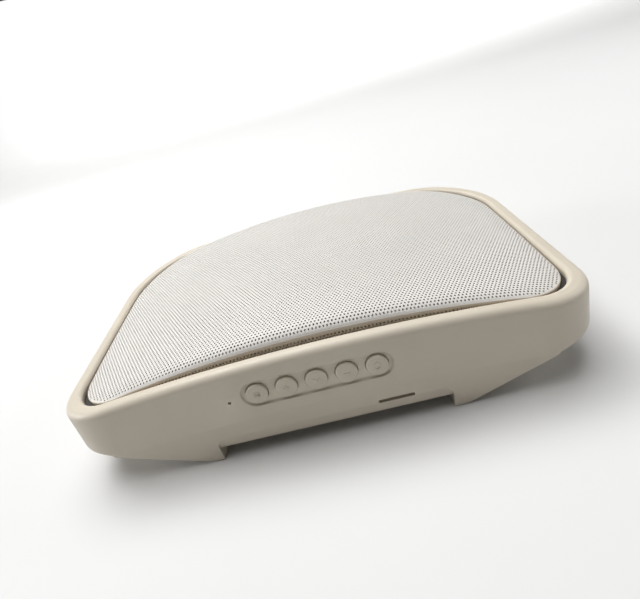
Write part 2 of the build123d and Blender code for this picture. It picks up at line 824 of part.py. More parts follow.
def make_board_components():
    """The amplifier chip, its coils and its capacitors, each a separate solid on the main board."""
    chips = [
        on_board(6.0, -36.0, (6.0, 6.0, 1.0), main_board_top),
        on_board(6.0, -46.0, (4.0, 4.0, 0.9), main_board_top),
    ]
    coils = [on_board(x, -36.0, (5.0, 5.0, 2.6), main_board_top) for x in (14.5, 21.5)]
    capacitors = []
    for x in (-24.0, -2.0):
        capacitors.append(Pos(x, -50.0, main_board_top + 2.4) * Cylinder(2.0, 4.8))
    return group(chips + coils + capacitors)


def make_card_socket():
    width, depth, height = card_socket_size
    y = -body_depth / 2 + wall + lip_clearance + lip_thickness + 0.3 + depth / 2
    socket = on_board(card_slot_x, y, card_socket_size, main_board_top)
    mouth = Pos(card_slot_x, y - 1.0, main_board_top + height / 2) * Box(11.6, depth, 1.1)
    return socket - mouth


def make_charge_board():
    y = charge_board_back - 11.0
    outline = Pos(0, y) * RectangleRounded(24.0, 22.0, 1.0)
    board = prism(outline, charge_board_bottom, charge_board_top)
    for x, sy in charge_board_screws():
        board = board - Pos(x, sy, charge_board_top) * Cylinder(tiny_screw["shank"] + 0.15, 6)
    return board


def make_charge_socket():
    """The charging socket: an oval metal shell with a tongue in its mouth, facing the back wall."""
    width, depth, height = charge_socket_size
    centre = Pos(0, charge_board_back + 0.2 - depth / 2, charge_board_top + height / 2 + 0.01)
    shell = extrude(Plane.XZ * SlotOverall(width, height), depth / 2, both=True)
    cavity = Pos(0, 0.6, 0) * extrude(Plane.XZ * SlotOverall(width - 0.7, height - 0.7), depth / 2, both=True)
    tongue = Pos(0, -0.4, 0) * Box(6.6, depth - 1.6, 0.7)
    return centre * (shell - cavity + tongue)


def make_battery_tray():
    """The open tray that holds the cell on the floor between the feet."""
    length, depth, height = cell_size
    low = channel_height + base_floor
    tray = Pos(0, cell_centre_y, low + 2.6) * Box(length + 2.6, depth + 2.6, 5.2)
    pocket = Pos(0, cell_centre_y, cell_bottom + height / 2) * Box(length + 0.2, depth + 0.2, height)
    window = Pos(0, cell_centre_y, low) * Box(length - 16, depth - 14, 6)
    return tray - pocket - window


def make_battery_cell():
    length, depth, height = cell_size
    cell = Pos(0, cell_centre_y, cell_bottom + height / 2) * Box(length, depth, height)
    return fillet(cell.edges().filter_by(Axis.Y), 3.2)


# ---------- leads ----------
def lead(points):
    """A round lead along straight runs joined by arcs."""
    route = FilletPolyline(*points, radius=lead_bend)
    start = Plane(origin=route @ 0, z_dir=route % 0)
    return sweep(start * Circle(lead_radius), path=route)


def make_ribbon():
    """The flat ribbon between the button board and the main board."""
    top = front_face(ribbon_x, button_height).offset(board_back).origin
    y = top.Y + 1.0
    low = main_board_top + 1.0
    strip = Pos(ribbon_x, y, (low + button_height) / 2) * Box(7.0, 0.3, button_height - low)
    plug = Pos(ribbon_x, y, main_board_top + 0.5) * Box(8.5, 2.0, 1.0)
    tab = front_block((ribbon_x - 4.25, ribbon_x + 4.25), 2.2, board_back - 0.95, board_back, button_height)
    return strip + plug + tab


def make_lead_pair(side):
    """A driver's two wires, from its terminals to the main board."""
    sign = -1 if side == "left" else 1
    terminal = sign * (driver_x - 4.0)
    landing = sign * 23.0
    wires = []
    for offset in (0.0, lead_spacing):
        x, y = landing + offset, -31.4
        start = (terminal + offset, -18.0, lead_level + 0.8)
        corner = (terminal + offset, -27.0, lead_level)
        wires.append(lead([start, corner, (x, y, lead_level), (x, y, main_board_top + 0.05)]))
    return group(wires)


def make_battery_lead():
    """The cell's two wires, from its front edge down to the main board."""
    wires = []
    start = cell_centre_y - cell_size[1] / 2 - 0.1
    end = -31.8
    for offset in (0.0, lead_spacing):
        x = battery_lead_x + offset
        level = battery_lead_level
        wires.append(lead([(x, start, level), (x, end, level), (x, end, main_board_top + 0.05)]))
    return group(wires)


# ---------- write every node ----------
save(make_upper_casing(), "upper_casing", "antiquewhite")
save(make_base_shell(), "base_shell", "antiquewhite")
save(make_casing_seal(), "casing_seal", "black")
save(make_grille(), "grille", "white")
save(make_grille_cloth(), "grille_cloth", "gray")
save(make_grille_frame(), "grille_frame", "gray")
save(make_baffle_plate(), "baffle_plate", "darkgray")

for side, x in driver_centres().items():
    save(make_driver_gasket(x), f"{side}_driver_gasket", "black")
    save(make_driver_basket(x), f"{side}_driver_basket", "gray")
    save(make_driver_magnet(x), f"{side}_driver_magnet", "silver")
    save(make_voice_coil(x), f"{side}_voice_coil", "orange")
    save(make_driver_cone(x), f"{side}_driver_cone", "black")
    save(make_dust_cap(x), f"{side}_dust_cap", "black")
    save(make_surround(x), f"{side}_surround", "black")
    save(make_damper(x), f"{side}_damper", "goldenrod")
    save(make_lead_pair(side), f"{side}_driver_lead", "red")

save(make_radiator_gasket(), "radiator_gasket", "black")
save(make_radiator_frame(), "radiator_frame", "gray")
save(make_radiator_surround(), "radiator_surround", "black")
save(make_radiator_plate(), "radiator_plate", "silver")

for name, x in zip(button_names, button_places()):
    save(make_button(name, x), name, "antiquewhite")
save(make_button_mat(), "button_mat", "lightgray")
save(make_tact_switches(), "tact_switches", "silver")
save(make_button_board(), "button_board", "green")
save(make_microphone(), "microphone", "gold")
save(make_microphone_boot(), "microphone_boot", "black")

save(make_main_board(), "main_board", "green")
save(make_wireless_module(), "wireless_module", "blue")
save(make_board_components(), "board_components", "black")
save(make_card_socket(), "card_socket", "silver")
save(make_charge_board(), "charge_board", "green")
save(make_charge_socket(), "charge_socket", "silver")
save(make_battery_tray(), "battery_tray", "darkgray")
save(make_battery_cell(), "battery_cell", "silver")
save(make_battery_lead(), "battery_lead", "red")
save(make_ribbon(), "button_ribbon", "orange")

case_screws = [Pos(x, y, case_screw_seat) * screw(case_screw) for x, y in case_boss_places]
save(group(case_screws), "casing_screws", "silver")
baffle_low = baffle_top - baffle_thickness
baffle_screws = [Pos(x, y, baffle_low) * screw(small_screw) for x, y in baffle_boss_places()]
save(group(baffle_screws), "baffle_screws", "silver")
driver_heads = flange_seat + flange_thickness
driver_screws = [
    Pos(px, py, driver_heads) * upside_down(screw(tiny_screw))
    for x in driver_centres().values()
    for px, py in driver_screw_places(x)
]
save(group(driver_screws), "driver_screws", "silver")
radiator_heads = radiator_seat + radiator_frame_thickness
radiator_screws = [
    Pos(x, y, radiator_heads) * upside_down(screw(tiny_screw))
    for x, y in radiator_screw_places()
]
save(group(radiator_screws), "radiator_screws", "silver")
board_places = [(x, y, main_board_top) for x, y in main_board_screws()]
board_places = board_places + [(x, y, charge_board_top) for x, y in charge_board_screws()]
board_screws = [Pos(*place) * upside_down(screw(board_screw)) for place in board_places]
for x in button_board_screw_x:
    board_screws.append(front_face(x, button_height).offset(board_back).location * screw(board_screw))
save(group(board_screws), "board_screws", "silver")
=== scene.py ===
import json
import math

import bpy
import numpy as np
from mathutils import Matrix, Vector


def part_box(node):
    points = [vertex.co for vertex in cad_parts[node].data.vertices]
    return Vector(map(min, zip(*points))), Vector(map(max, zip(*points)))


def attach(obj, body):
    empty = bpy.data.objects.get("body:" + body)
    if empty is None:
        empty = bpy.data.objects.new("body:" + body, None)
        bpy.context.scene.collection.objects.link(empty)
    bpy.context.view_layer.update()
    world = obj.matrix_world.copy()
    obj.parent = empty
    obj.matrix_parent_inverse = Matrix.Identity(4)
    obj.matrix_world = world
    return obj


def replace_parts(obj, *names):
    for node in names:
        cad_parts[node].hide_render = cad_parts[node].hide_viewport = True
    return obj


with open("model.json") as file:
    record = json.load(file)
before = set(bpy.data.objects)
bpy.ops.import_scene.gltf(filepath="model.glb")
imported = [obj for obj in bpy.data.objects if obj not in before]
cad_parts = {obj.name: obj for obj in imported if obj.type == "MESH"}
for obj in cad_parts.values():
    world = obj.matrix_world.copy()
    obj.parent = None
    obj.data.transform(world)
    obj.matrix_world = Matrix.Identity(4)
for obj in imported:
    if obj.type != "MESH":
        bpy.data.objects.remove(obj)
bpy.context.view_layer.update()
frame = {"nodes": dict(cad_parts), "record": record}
nodes = frame["nodes"]
MM = 0.001


# ---------- material helpers ----------
POINTINESS_EDGE_START = 0.52
POINTINESS_EDGE_FULL = 0.64


def toned(colour, factor, lift=0.0):
    """A colour scaled by a factor and lifted a little, with each channel kept to 1 at most."""
    return tuple(min(1.0, channel * factor + lift) for channel in colour)


class Graph:
    """A short way to write a material's nodes: each call adds one node and returns its main output."""

    def __init__(self, name, colour, roughness, **sockets):
        self.material = bpy.data.materials.new(name)
        self.material.use_nodes = True
        self.tree = self.material.node_tree
        self.shader = self.tree.nodes["Principled BSDF"]
        self.set("Base Color", (*colour, 1.0))
        self.set("Roughness", roughness)
        for socket, value in sockets.items():
            self.set(socket, value)
        self.place = self.add("ShaderNodeTexCoord").outputs["Object"]

    def set(self, socket, value):
        self.shader.inputs[socket].default_value = value

    def drive(self, socket, source):
        """Feed one of the shader's sockets from a node's output."""
        self.link(source, self.shader.inputs[socket])

    def add(self, kind, **settings):
        node = self.tree.nodes.new(kind)
        for key, value in settings.items():
            setattr(node, key, value)
        return node

    def link(self, source, target):
        self.tree.links.new(source, target)

    def noise(self, scale, detail=3.0, roughness=0.5, place=None):
        node = self.add("ShaderNodeTexNoise")
        node.inputs["Scale"].default_value = scale
        node.inputs["Detail"].default_value = detail
        node.inputs["Roughness"].default_value = roughness
        self.link(place or self.place, node.inputs["Vector"])
        return node.outputs["Fac"]

    def cells(self, scale, feature="F1"):
        node = self.add("ShaderNodeTexVoronoi", feature=feature)
        node.inputs["Scale"].default_value = scale
        self.link(self.place, node.inputs["Vector"])
        return node.outputs["Distance"]

    def wave(self, scale, direction):
        """Smooth stripes from 0 to 1 across one direction."""
        node = self.add("ShaderNodeTexWave", bands_direction=direction)
        node.inputs["Scale"].default_value = scale
        self.link(self.place, node.inputs["Vector"])
        return node.outputs["Fac"]

    def stretched(self, x, y, z):
        """The object's own coordinates, scaled along each axis."""
        node = self.add("ShaderNodeMapping")
        node.inputs["Scale"].default_value = (x, y, z)
        self.link(self.place, node.inputs["Vector"])
        return node.outputs["Vector"]

    def maths(self, kind, a, b):
        node = self.add("ShaderNodeMath", operation=kind)
        for socket, value in zip(node.inputs, (a, b)):
            if isinstance(value, (int, float)):
                socket.default_value = value
            else:
                self.link(value, socket)
        return node.outputs[0]

    def ramp(self, factor, low, high, first=0.0, last=1.0):
        """A straight blend between two colours as the factor goes from first to last."""
        node = self.add("ShaderNodeValToRGB")
        stops = zip(node.color_ramp.elements, (first, last), (low, high))
        for stop, position, colour in stops:
            stop.position = position
            stop.color = (*colour, 1.0)
        self.link(factor, node.inputs["Fac"])
        return node.outputs["Color"]

    def range(self, factor, low, high, first=0.0, last=1.0):
        """A value that goes from low to high as the factor goes from first to last."""
        node = self.add("ShaderNodeMapRange")
        limits = {"From Min": first, "From Max": last, "To Min": low, "To Max": high}
        for name, value in limits.items():
            node.inputs[name].default_value = value
        self.link(factor, node.inputs["Value"])
        return node.outputs["Result"]

    def mixed(self, factor, under, colour):
        """The colour under, turning into a plain colour where the factor is 1."""
        node = self.add("ShaderNodeMixRGB")
        node.inputs["Color2"].default_value = (*colour, 1.0)
        self.link(factor, node.inputs["Fac"])
        self.link(under, node.inputs["Color1"])
        return node.outputs["Color"]

    def edges(self):
        """How strongly a point lies on a convex edge, from 0 to 1."""
        pointiness = self.add("ShaderNodeNewGeometry").outputs["Pointiness"]
        return self.range(pointiness, 0.0, 1.0, first=POINTINESS_EDGE_START, last=POINTINESS_EDGE_FULL)

    def bump(self, height, strength, distance):
        """Lift the surface's shading by a height pattern, and feed it to the shader."""
        node = self.add("ShaderNodeBump")
        node.inputs["Strength"].default_value = strength
        node.inputs["Distance"].default_value = distance
        self.link(height, node.inputs["Height"])
        self.drive("Normal", node.outputs["Normal"])


# ---------- materials ----------
def moulded_plastic(name, colour, roughness=0.42):
    """Satin moulded plastic: fine spark-eroded grain, faint clouds in tone and gloss, paler worn edges."""
    g = Graph(name, colour, roughness, IOR=1.47)
    clouds = g.noise(scale=38.0, detail=4.0)
    cloud = g.ramp(clouds, toned(colour, 0.965), toned(colour, 1.02), first=0.3, last=0.7)
    g.drive("Base Color", g.mixed(g.edges(), cloud, toned(colour, 1.10)))
    gloss = g.noise(scale=160.0)
    g.drive("Roughness", g.range(gloss, roughness - 0.05, roughness + 0.06, first=0.35, last=0.65))
    g.bump(g.noise(scale=5200.0, detail=2.0, roughness=0.6), strength=0.05, distance=0.06 * MM)
    return g.material


def powder_coat(name, colour):
    """Powder-coated sheet metal: an orange-peel ripple with a slightly uneven gloss."""
    g = Graph(name, colour, roughness=0.5)
    peel = g.noise(scale=1500.0, detail=2.0)
    g.drive("Base Color", g.ramp(g.noise(scale=60.0), toned(colour, 0.97), colour, first=0.3, last=0.7))
    g.drive("Roughness", g.range(peel, 0.42, 0.58, first=0.3, last=0.7))
    g.bump(peel, strength=0.12, distance=0.08 * MM)
    return g.material


def soft_rubber(name, colour, roughness=0.7):
    """Matt rubber with a dusty bloom and a fine leathery grain."""
    g = Graph(name, colour, roughness)
    dust = g.noise(scale=90.0, detail=5.0)
    g.drive("Base Color", g.ramp(dust, colour, toned(colour, 1.5, lift=0.02), first=0.45, last=0.8))
    sheen = g.noise(scale=420.0)
    g.drive("Roughness", g.range(sheen, roughness - 0.1, roughness + 0.1, first=0.3, last=0.7))
    g.bump(g.cells(scale=2400.0), strength=0.2, distance=0.08 * MM)
    return g.material


def metal(name, colour, roughness=0.35, stretch=(1.0, 1.0, 12.0)):
    """Bare or plated metal with dull patches, and fine lines that lie across the axis of greatest stretch."""
    g = Graph(name, colour, roughness, Metallic=1.0)
    lines = g.noise(scale=700.0, detail=4.0, roughness=0.6, place=g.stretched(*stretch))
    patches = g.noise(scale=55.0, detail=4.0)
    g.drive("Base Color", g.ramp(patches, toned(colour, 0.86), colour, first=0.35, last=0.65))
    g.drive("Roughness", g.range(lines, roughness - 0.1, roughness + 0.12, first=0.3, last=0.7))
    g.bump(lines, strength=0.08, distance=0.05 * MM)
    return g.material


def fibre_paper(name, colour):
    """Pressed paper pulp: short fibres with a mottled tone."""
    g = Graph(name, colour, roughness=0.85)
    fibres = g.noise(scale=1400.0, detail=6.0, roughness=0.75, place=g.stretched(1.0, 3.0, 1.0))
    g.drive("Base Color", g.ramp(fibres, colour, toned(colour, 1.7, lift=0.01), first=0.4, last=0.75))
    g.bump(fibres, strength=0.35, distance=0.1 * MM)
    return g.material


def woven(name, colour, threads=1700.0):
    """A plain weave: two sets of threads crossing at right angles, darker in the gaps."""
    g = Graph(name, colour, roughness=0.9)
    weave = g.maths("MULTIPLY", g.wave(threads, "X"), g.wave(threads, "Y"))
    g.drive("Base Color", g.ramp(weave, toned(colour, 0.5), toned(colour, 1.6, lift=0.01), last=0.6))
    g.bump(weave, strength=0.5, distance=0.2 * MM)
    return g.material


def wound_wire(name, colour):
    """Varnished wire wound in close turns, one above the other."""
    g = Graph(name, colour, roughness=0.3, Metallic=0.9)
    turns = g.wave(5200.0, "Z")
    g.drive("Base Color", g.ramp(turns, toned(colour, 0.45), colour, first=0.1, last=0.6))
    g.bump(turns, strength=0.6, distance=0.15 * MM)
    return g.material


def laminate(name, colour):
    """A circuit board: lacquer over copper areas split by narrow gaps, with an uneven gloss."""
    g = Graph(name, colour, roughness=0.35)
    copper = g.maths("GREATER_THAN", g.cells(scale=420.0, feature="DISTANCE_TO_EDGE"), 0.12)
    g.drive("Base Color", g.ramp(copper, colour, toned(colour, 1.9, lift=0.01)))
    g.drive("Roughness", g.range(g.noise(scale=500.0), 0.28, 0.45, first=0.3, last=0.7))
    g.bump(copper, strength=0.3, distance=0.04 * MM)
    return g.material


def striped_film(name, colour):
    """Amber film with the darker lines of its conductors showing through."""
    g = Graph(name, colour, roughness=0.25)
    lines = g.wave(900.0, "X")
    g.drive("Base Color", g.ramp(lines, toned(colour, 0.45), colour, first=0.3, last=0.6))
    g.bump(lines, strength=0.15, distance=0.05 * MM)
    return g.material


def studio_paper(name, colour):
    """A seamless paper sweep with a faint tooth."""
    g = Graph(name, colour, roughness=0.85)
    tone = g.noise(scale=9.0, detail=4.0)
    g.drive("Base Color", g.ramp(tone, toned(colour, 0.985), colour, first=0.3, last=0.7))
    g.bump(g.noise(scale=900.0), strength=0.05, distance=0.1 * MM)
    return g.material


# ---------- a finish for each of the record's slots ----------
CREAM = (0.60, 0.54, 0.445)
FINISHES = {
    "cream_plastic": lambda n: moulded_plastic(n, CREAM),
    "button_plastic": lambda n: moulded_plastic(n, (0.61, 0.55, 0.455), roughness=0.46),
    "grille_sheet": lambda n: powder_coat(n, (0.70, 0.675, 0.64)),
    "grille_cloth": lambda n: woven(n, (0.035, 0.033, 0.03)),
    "inner_plastic": lambda n: moulded_plastic(n, (0.030, 0.029, 0.028), roughness=0.55),
    "seal_rubber": lambda n: soft_rubber(n, (0.020, 0.020, 0.021)),
    "mat_silicone": lambda n: soft_rubber(n, (0.55, 0.52, 0.46), roughness=0.55),
    "pressed_steel": lambda n: metal(n, (0.50, 0.50, 0.49), roughness=0.4),
    "magnet_steel": lambda n: metal(n, (0.33, 0.33, 0.34), roughness=0.3, stretch=(1.0, 1.0, 4.0)),
    "paper_cone": lambda n: fibre_paper(n, (0.022, 0.021, 0.020)),
    "coil_copper": lambda n: wound_wire(n, (0.72, 0.36, 0.20)),
    "damper_cloth": lambda n: woven(n, (0.52, 0.36, 0.15), threads=1200.0),
    "radiator_alloy": lambda n: metal(n, (0.62, 0.62, 0.63), roughness=0.38, stretch=(12.0, 1.0, 1.0)),
    "board_laminate": lambda n: laminate(n, (0.012, 0.085, 0.040)),
    "component_black": lambda n: moulded_plastic(n, (0.022, 0.022, 0.024), roughness=0.5),
    "socket_steel": lambda n: metal(n, (0.07, 0.07, 0.065), roughness=0.45, stretch=(8.0, 1.0, 1.0)),
    "cell_foil": lambda n: metal(n, (0.70, 0.71, 0.73), roughness=0.3, stretch=(1.0, 6.0, 1.0)),
    "lead_red": lambda n: moulded_plastic(n, (0.42, 0.025, 0.018), roughness=0.4),
    "ribbon_film": lambda n: striped_film(n, (0.50, 0.22, 0.05)),
    "screw_steel": lambda n: metal(n, (0.45, 0.45, 0.46), roughness=0.33),
}
finishes = {name: make(name) for name, make in FINISHES.items()}
# A darker, warmer copy of the grille's powder coat, for its side wall and crease: painted shade where the
# sheet turns down under the casing's rim.
finishes["grille_edge_painted_shade"] = powder_coat("grille_edge_painted_shade", (0.56, 0.485, 0.39))
for part in frame["record"]["subparts"]:
    materials = nodes[part["node"]].data.materials
    materials.clear()
    materials.append(finishes[part["material_slot"]])


# ---------- perforated grille: sizes ----------
PITCH = 1.22 * MM
ROW = PITCH * math.sqrt(3) / 2
HOLE_RADIUS = 0.335 * MM
HOLE_MARGIN = 0.1 * MM
HOLE_ROOM = HOLE_RADIUS + HOLE_MARGIN
HOLE_SIDES = 8
WELD_DECIMALS = 8
SHEET = 0.8 * MM
ROLL_WIDTH = 6.0 * MM
ROLL_SHARE = 0.5
EDGE_INSET = 0.25 * MM
CROWN_STRIPS = 3
CROWN_RADIUS_ALONG = 318.0 * MM
CROWN_RADIUS_ACROSS = 870.0 * MM
RIM_RADIUS = 672.0 * MM
FOOT_DROP = 3.05 * MM
CORNER_FRONT = 18.0 * MM
CORNER_BACK = 33.0 * MM
NEARLY_ZERO = 1e-9
WALL_ROWS = 6
STRAIGHT_RUN_FACING = 0.99
CREASE_STEPS = 640
CREASE_ARC_STEPS = 8
CREASE_LIP = EDGE_INSET + 0.3 * MM
CREASE_TUCK = 0.03 * MM
CREASE_DROP = 0.05 * MM
half_x, half_y, crown_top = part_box("grille")[1]
rim_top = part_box("upper_casing")[1].z


# ---------- perforated grille: heights and outline ----------
def crown_height(x, y):
    """The crown: an arch in X turned about an axle along Y, along a ridge that is a flatter arch in Y.

    z = a + sqrt((c(y) - a)^2 - x^2), where c(y) = top - R2 + sqrt(R2^2 - y^2) and a = top - R1.
    """
    axle = crown_top - CROWN_RADIUS_ALONG
    ridge = crown_top - CROWN_RADIUS_ACROSS + np.sqrt(CROWN_RADIUS_ACROSS**2 - y**2)
    return axle + np.sqrt((ridge - axle) ** 2 - x**2)


def foot_height(x):
    """The level that the grille's wall reaches down to, under the casing's arched rim.

    z = rim - R + sqrt(R^2 - x^2) - drop.
    """
    return rim_top - RIM_RADIUS + np.sqrt(RIM_RADIUS**2 - x**2) - FOOT_DROP


def corner_frame(point, inset):
    """The outline drawn in by inset, as seen from each point.

    Gives its half sizes, the nearest corner's radius and centre, the vector from that centre to the point,
    and whether the point lies beyond the centre both ways, so that the outline there is an arc.
    """
    radius = np.where(point[:, 1] < 0, CORNER_FRONT, CORNER_BACK) - inset
    size = np.array([half_x - inset, half_y - inset])
    centre = np.sign(point) * (size - radius[:, None])
    out = point - centre
    in_corner = (out * np.sign(point) > 0).all(axis=1)
    return size, radius, centre, out, in_corner


def depth_inside(point, inset):
    """How far a point lies inside the outline drawn in by inset (negative outside)."""
    size, radius, _, out, in_corner = corner_frame(point, inset)
    straight = (size - np.abs(point)).min(axis=1)
    return np.where(in_corner, radius - np.hypot(*out.T), straight)


def pulled_inside(point, inset):
    """The point itself, or if it lies outside, the nearest place on the outline drawn in by inset."""
    size, radius, centre, out, in_corner = corner_frame(point, inset)
    length = np.maximum(np.hypot(*out.T), NEARLY_ZERO)
    on_arc = centre + out * np.minimum(1.0, radius / length)[:, None]
    return np.where(in_corner[:, None], on_arc, np.clip(point, -size, size))


def rolled_height(point):
    """The crown rolled over towards its edge: z = crown - D (1 - sqrt(1 - (1 - d / E)^2)).

    d is the depth inside the outline, up to E, the roll's width. D is a share of the crown's height above the
    foot.
    """
    flat = crown_height(*point.T)
    fall = ROLL_SHARE * np.maximum(flat - foot_height(point[:, 0]), 0.0)
    nearness = np.clip(1.0 - depth_inside(point, 0.0) / ROLL_WIDTH, 0.0, 1.0)
    return flat - fall * (1.0 - np.sqrt(1.0 - nearness**2))


def outline_at(distance):
    """Place, outward normal and total length of the grille's outline.

    The distance runs round it from the middle of the front, over straight runs and quarter arcs. A run is its
    length, its start (an arc's centre), its radius (0 if straight) and the way it first faces, in degrees.
    """
    front, back = CORNER_FRONT, CORNER_BACK
    runs = [
        (half_x - front, (0.0, -half_y), 0.0, -90.0),
        (front * math.pi / 2, (half_x - front, -half_y + front), front, -90.0),
        (2 * half_y - front - back, (half_x, -half_y + front), 0.0, 0.0),
        (back * math.pi / 2, (half_x - back, half_y - back), back, 0.0),
        (2 * (half_x - back), (half_x - back, half_y), 0.0, 90.0),
        (back * math.pi / 2, (-half_x + back, half_y - back), back, 90.0),
        (2 * half_y - front - back, (-half_x, half_y - back), 0.0, 180.0),
        (front * math.pi / 2, (-half_x + front, -half_y + front), front, 180.0),
        (half_x - front, (-half_x + front, -half_y), 0.0, 270.0),
    ]
    total = sum(run[0] for run in runs)
    distance = np.mod(distance, total)
    place = np.zeros((len(distance), 2))
    normal = np.zeros_like(place)
    start = 0.0
    for length, origin, radius, degrees in runs:
        here = (distance >= start) & (distance <= start + length)
        along = distance[here] - start
        turn = np.radians(degrees) + (along / radius if radius else 0.0 * along)
        facing = np.column_stack([np.cos(turn), np.sin(turn)])
        straight = np.column_stack([-facing[:, 1], facing[:, 0]]) * along[:, None]
        place[here] = np.array(origin) + (radius * facing if radius else straight)
        normal[here] = facing
        start += length
    return place, normal, total


# ---------- perforated grille: pieces ----------
def new_piece(name, points, faces, smooth=False, coat="grille_sheet"):
    """A mesh that rides on the speaker's body, finished with the given coat's material."""
    mesh = bpy.data.meshes.new(name)
    mesh.from_pydata(points.tolist(), [], faces)
    mesh.polygons.foreach_set("use_smooth", np.full(len(faces), smooth))
    mesh.materials.append(finishes[coat])
    piece = bpy.data.objects.new(name, mesh)
    bpy.context.scene.collection.objects.link(piece)
    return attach(piece, "speaker_body")


def ring_faces(steps, across):
    """Four-sided faces of a grid of steps lines, each of across points, whose last line joins its first."""
    i, j = np.meshgrid(np.arange(steps), np.arange(across - 1), indexing="ij")
    here = i * across + j
    after = (i + 1) % steps * across + j
    return np.stack([here, here + 1, after + 1, after], 2).reshape(-1, 4).tolist()


def perforated(name, centres, holed, place, coat="grille_sheet"):
    """Sheet made of brick-shaped cells, each joined by eight four-sided faces to an eight-sided hole in it.

    A cell is p wide and q tall, and its outline's points are its corners and the middles of its sides.
    The hole's points are r (cos a, sin a), with a = 45 k - 135 degrees for k from 0 to 7, so that each lies
    towards one outline point. place(points, depth) lays both on the surface. Cells share the points that
    coincide.
    """
    outline_steps = np.array([(-1, -1), (0, -1), (1, -1), (1, 0), (1, 1), (0, 1), (-1, 1), (-1, 0)])
    angles = np.radians(np.arange(HOLE_SIDES) * 45.0 - 135.0)
    outline = (centres[:, None] + outline_steps * (PITCH / 2, ROW / 2)).reshape(-1, 2)
    rim = HOLE_RADIUS * np.stack([np.cos(angles), np.sin(angles)], 1)
    hole = (centres[holed][:, None] + rim).reshape(-1, 2)
    shared, index = np.unique(np.round(outline, WELD_DECIMALS), axis=0, return_inverse=True)
    index = index.reshape(-1, HOLE_SIDES)
    first = len(shared) + np.arange(len(hole)).reshape(-1, HOLE_SIDES)
    second = first + len(hole)
    around = np.roll(np.arange(HOLE_SIDES), -1)
    cells = index[holed]
    top = np.stack([cells, cells[:, around], first[:, around], first], 2).reshape(-1, 4)
    inside = np.stack([first, first[:, around], second[:, around], second], 2).reshape(-1, 4)
    points = np.concatenate([place(shared, 0.0), place(hole, 0.0), place(hole, SHEET)])
    return new_piece(name, points, index[~holed].tolist() + top.tolist() + inside.tolist(), coat=coat)


def on_crown(points, depth):
    """Points in plan laid on the crown, pulled in to its edge."""
    flat = pulled_inside(points, EDGE_INSET)
    return np.column_stack([flat, rolled_height(flat) - depth])


def crown_pieces():
    """The perforated crown, in equal strips along the length, with every second row moved by half a pitch."""
    rows = np.arange(-int(half_y / ROW) - 1, int(half_y / ROW) + 2)
    columns = np.arange(-int(half_x / PITCH) - 1, int(half_x / PITCH) + 2)
    column, row = np.meshgrid(columns, rows)
    centres = np.column_stack([((column + (row % 2) / 2) * PITCH).ravel(), (row * ROW).ravel()])
    depth = depth_inside(centres, EDGE_INSET)
    kept = depth > -ROW / 2
    centres, depth = centres[kept], depth[kept]
    share = (centres[:, 0] + half_x) / (2 * half_x)
    strip = np.clip((share * CROWN_STRIPS).astype(int), 0, CROWN_STRIPS - 1)
    for i in range(CROWN_STRIPS):
        here = strip == i
        perforated(f"grille_crown_{i + 1}", centres[here], depth[here] > HOLE_ROOM, on_crown)


def on_wall(points, depth):
    """Points laid on the wall: distance round the outline, and height from the crease down to the foot."""
    place, normal, _ = outline_at(points[:, 0])
    height = np.maximum(rolled_height(place) + points[:, 1], foot_height(place[:, 0]))
    return np.column_stack([place - normal * depth, height])


def wall_piece():
    """The grille's side wall, perforated along the middle of the front and the back.

    The spacing is the outline's length over a whole number, and the cells keep the full pitch, so neighbours
    in a row meet edge to edge, to about a thousandth of a millimetre, without sharing points.
    """
    total = outline_at(np.zeros(1))[2]
    count = round(total / PITCH)
    column, row = np.meshgrid(np.arange(count), np.arange(WALL_ROWS))
    distance = (column + (row % 2) / 2) * total / count
    centres = np.column_stack([distance.ravel(), (-(row + 0.5) * ROW).ravel()])
    place, normal, _ = outline_at(centres[:, 0])
    room = rolled_height(place) + centres[:, 1] - foot_height(place[:, 0])
    kept = room > -ROW / 2
    holed = (room > HOLE_ROOM) & (np.abs(place[:, 0]) < half_x - CORNER_BACK)
    holed &= np.abs(normal[:, 1]) > STRAIGHT_RUN_FACING
    # The wall wears the darker copy of the grille's coat: painted shade.
    return perforated("grille_wall", centres[kept], holed[kept], on_wall, coat="grille_edge_painted_shade")


def crease_piece():
    """The last of the roll, carried round the outline as a profile of insets from it.

    The inset is e (1 - sin t) for t from 0 to 90 degrees, e being the crown's edge inset. Before the arc the
    profile tucks in under the crown, and after it drops a little and turns inwards, level.
    """
    total = outline_at(np.zeros(1))[2]
    place, normal, _ = outline_at(np.arange(CREASE_STEPS) * total / CREASE_STEPS)
    turn = np.radians(np.linspace(0.0, 90.0, CREASE_ARC_STEPS))
    inset = np.concatenate([[CREASE_LIP], EDGE_INSET * (1 - np.sin(turn)), [0.0, CREASE_LIP]])
    below = np.concatenate([[CREASE_TUCK], np.zeros(CREASE_ARC_STEPS), [CREASE_DROP, CREASE_DROP]])
    flat = place[:, None] - normal[:, None] * inset[:, None]
    height = rolled_height(flat.reshape(-1, 2)).reshape(CREASE_STEPS, -1) - below
    height[:, -1] = height[:, -2]
    points = np.concatenate([flat, height[..., None]], 2).reshape(-1, 3)
    faces = ring_faces(CREASE_STEPS, len(inset))
    # The crease wears the darker copy of the grille's coat: painted shade.
    return new_piece("grille_crease", points, faces, smooth=True, coat="grille_edge_painted_shade")


crown_pieces()
wall_piece()
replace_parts(crease_piece(), "grille")


# ---------- studio ----------
FLOOR_STEPS = 96
FLOOR_FLAT_RADIUS = 1.4
FLOOR_CURVE_RADIUS = 1.2
FLOOR_CENTRE_RADIUS = 0.02
FLOOR_FLAT_RINGS = 24
FLOOR_CURVE_RINGS = 12
FLOOR_RISE = 55.0
WORLD_STRENGTH = 0.07
SENSOR_WIDTH = 36.0
FOCAL_LENGTH = 25.3
CLIP_START = 5.0 * MM
CAMERA_PLACE = (0.0180, -0.1719, 0.1208)
CAMERA_FORWARD = (-0.0803, 0.8555, -0.5116)
CAMERA_ROLL = 17.04

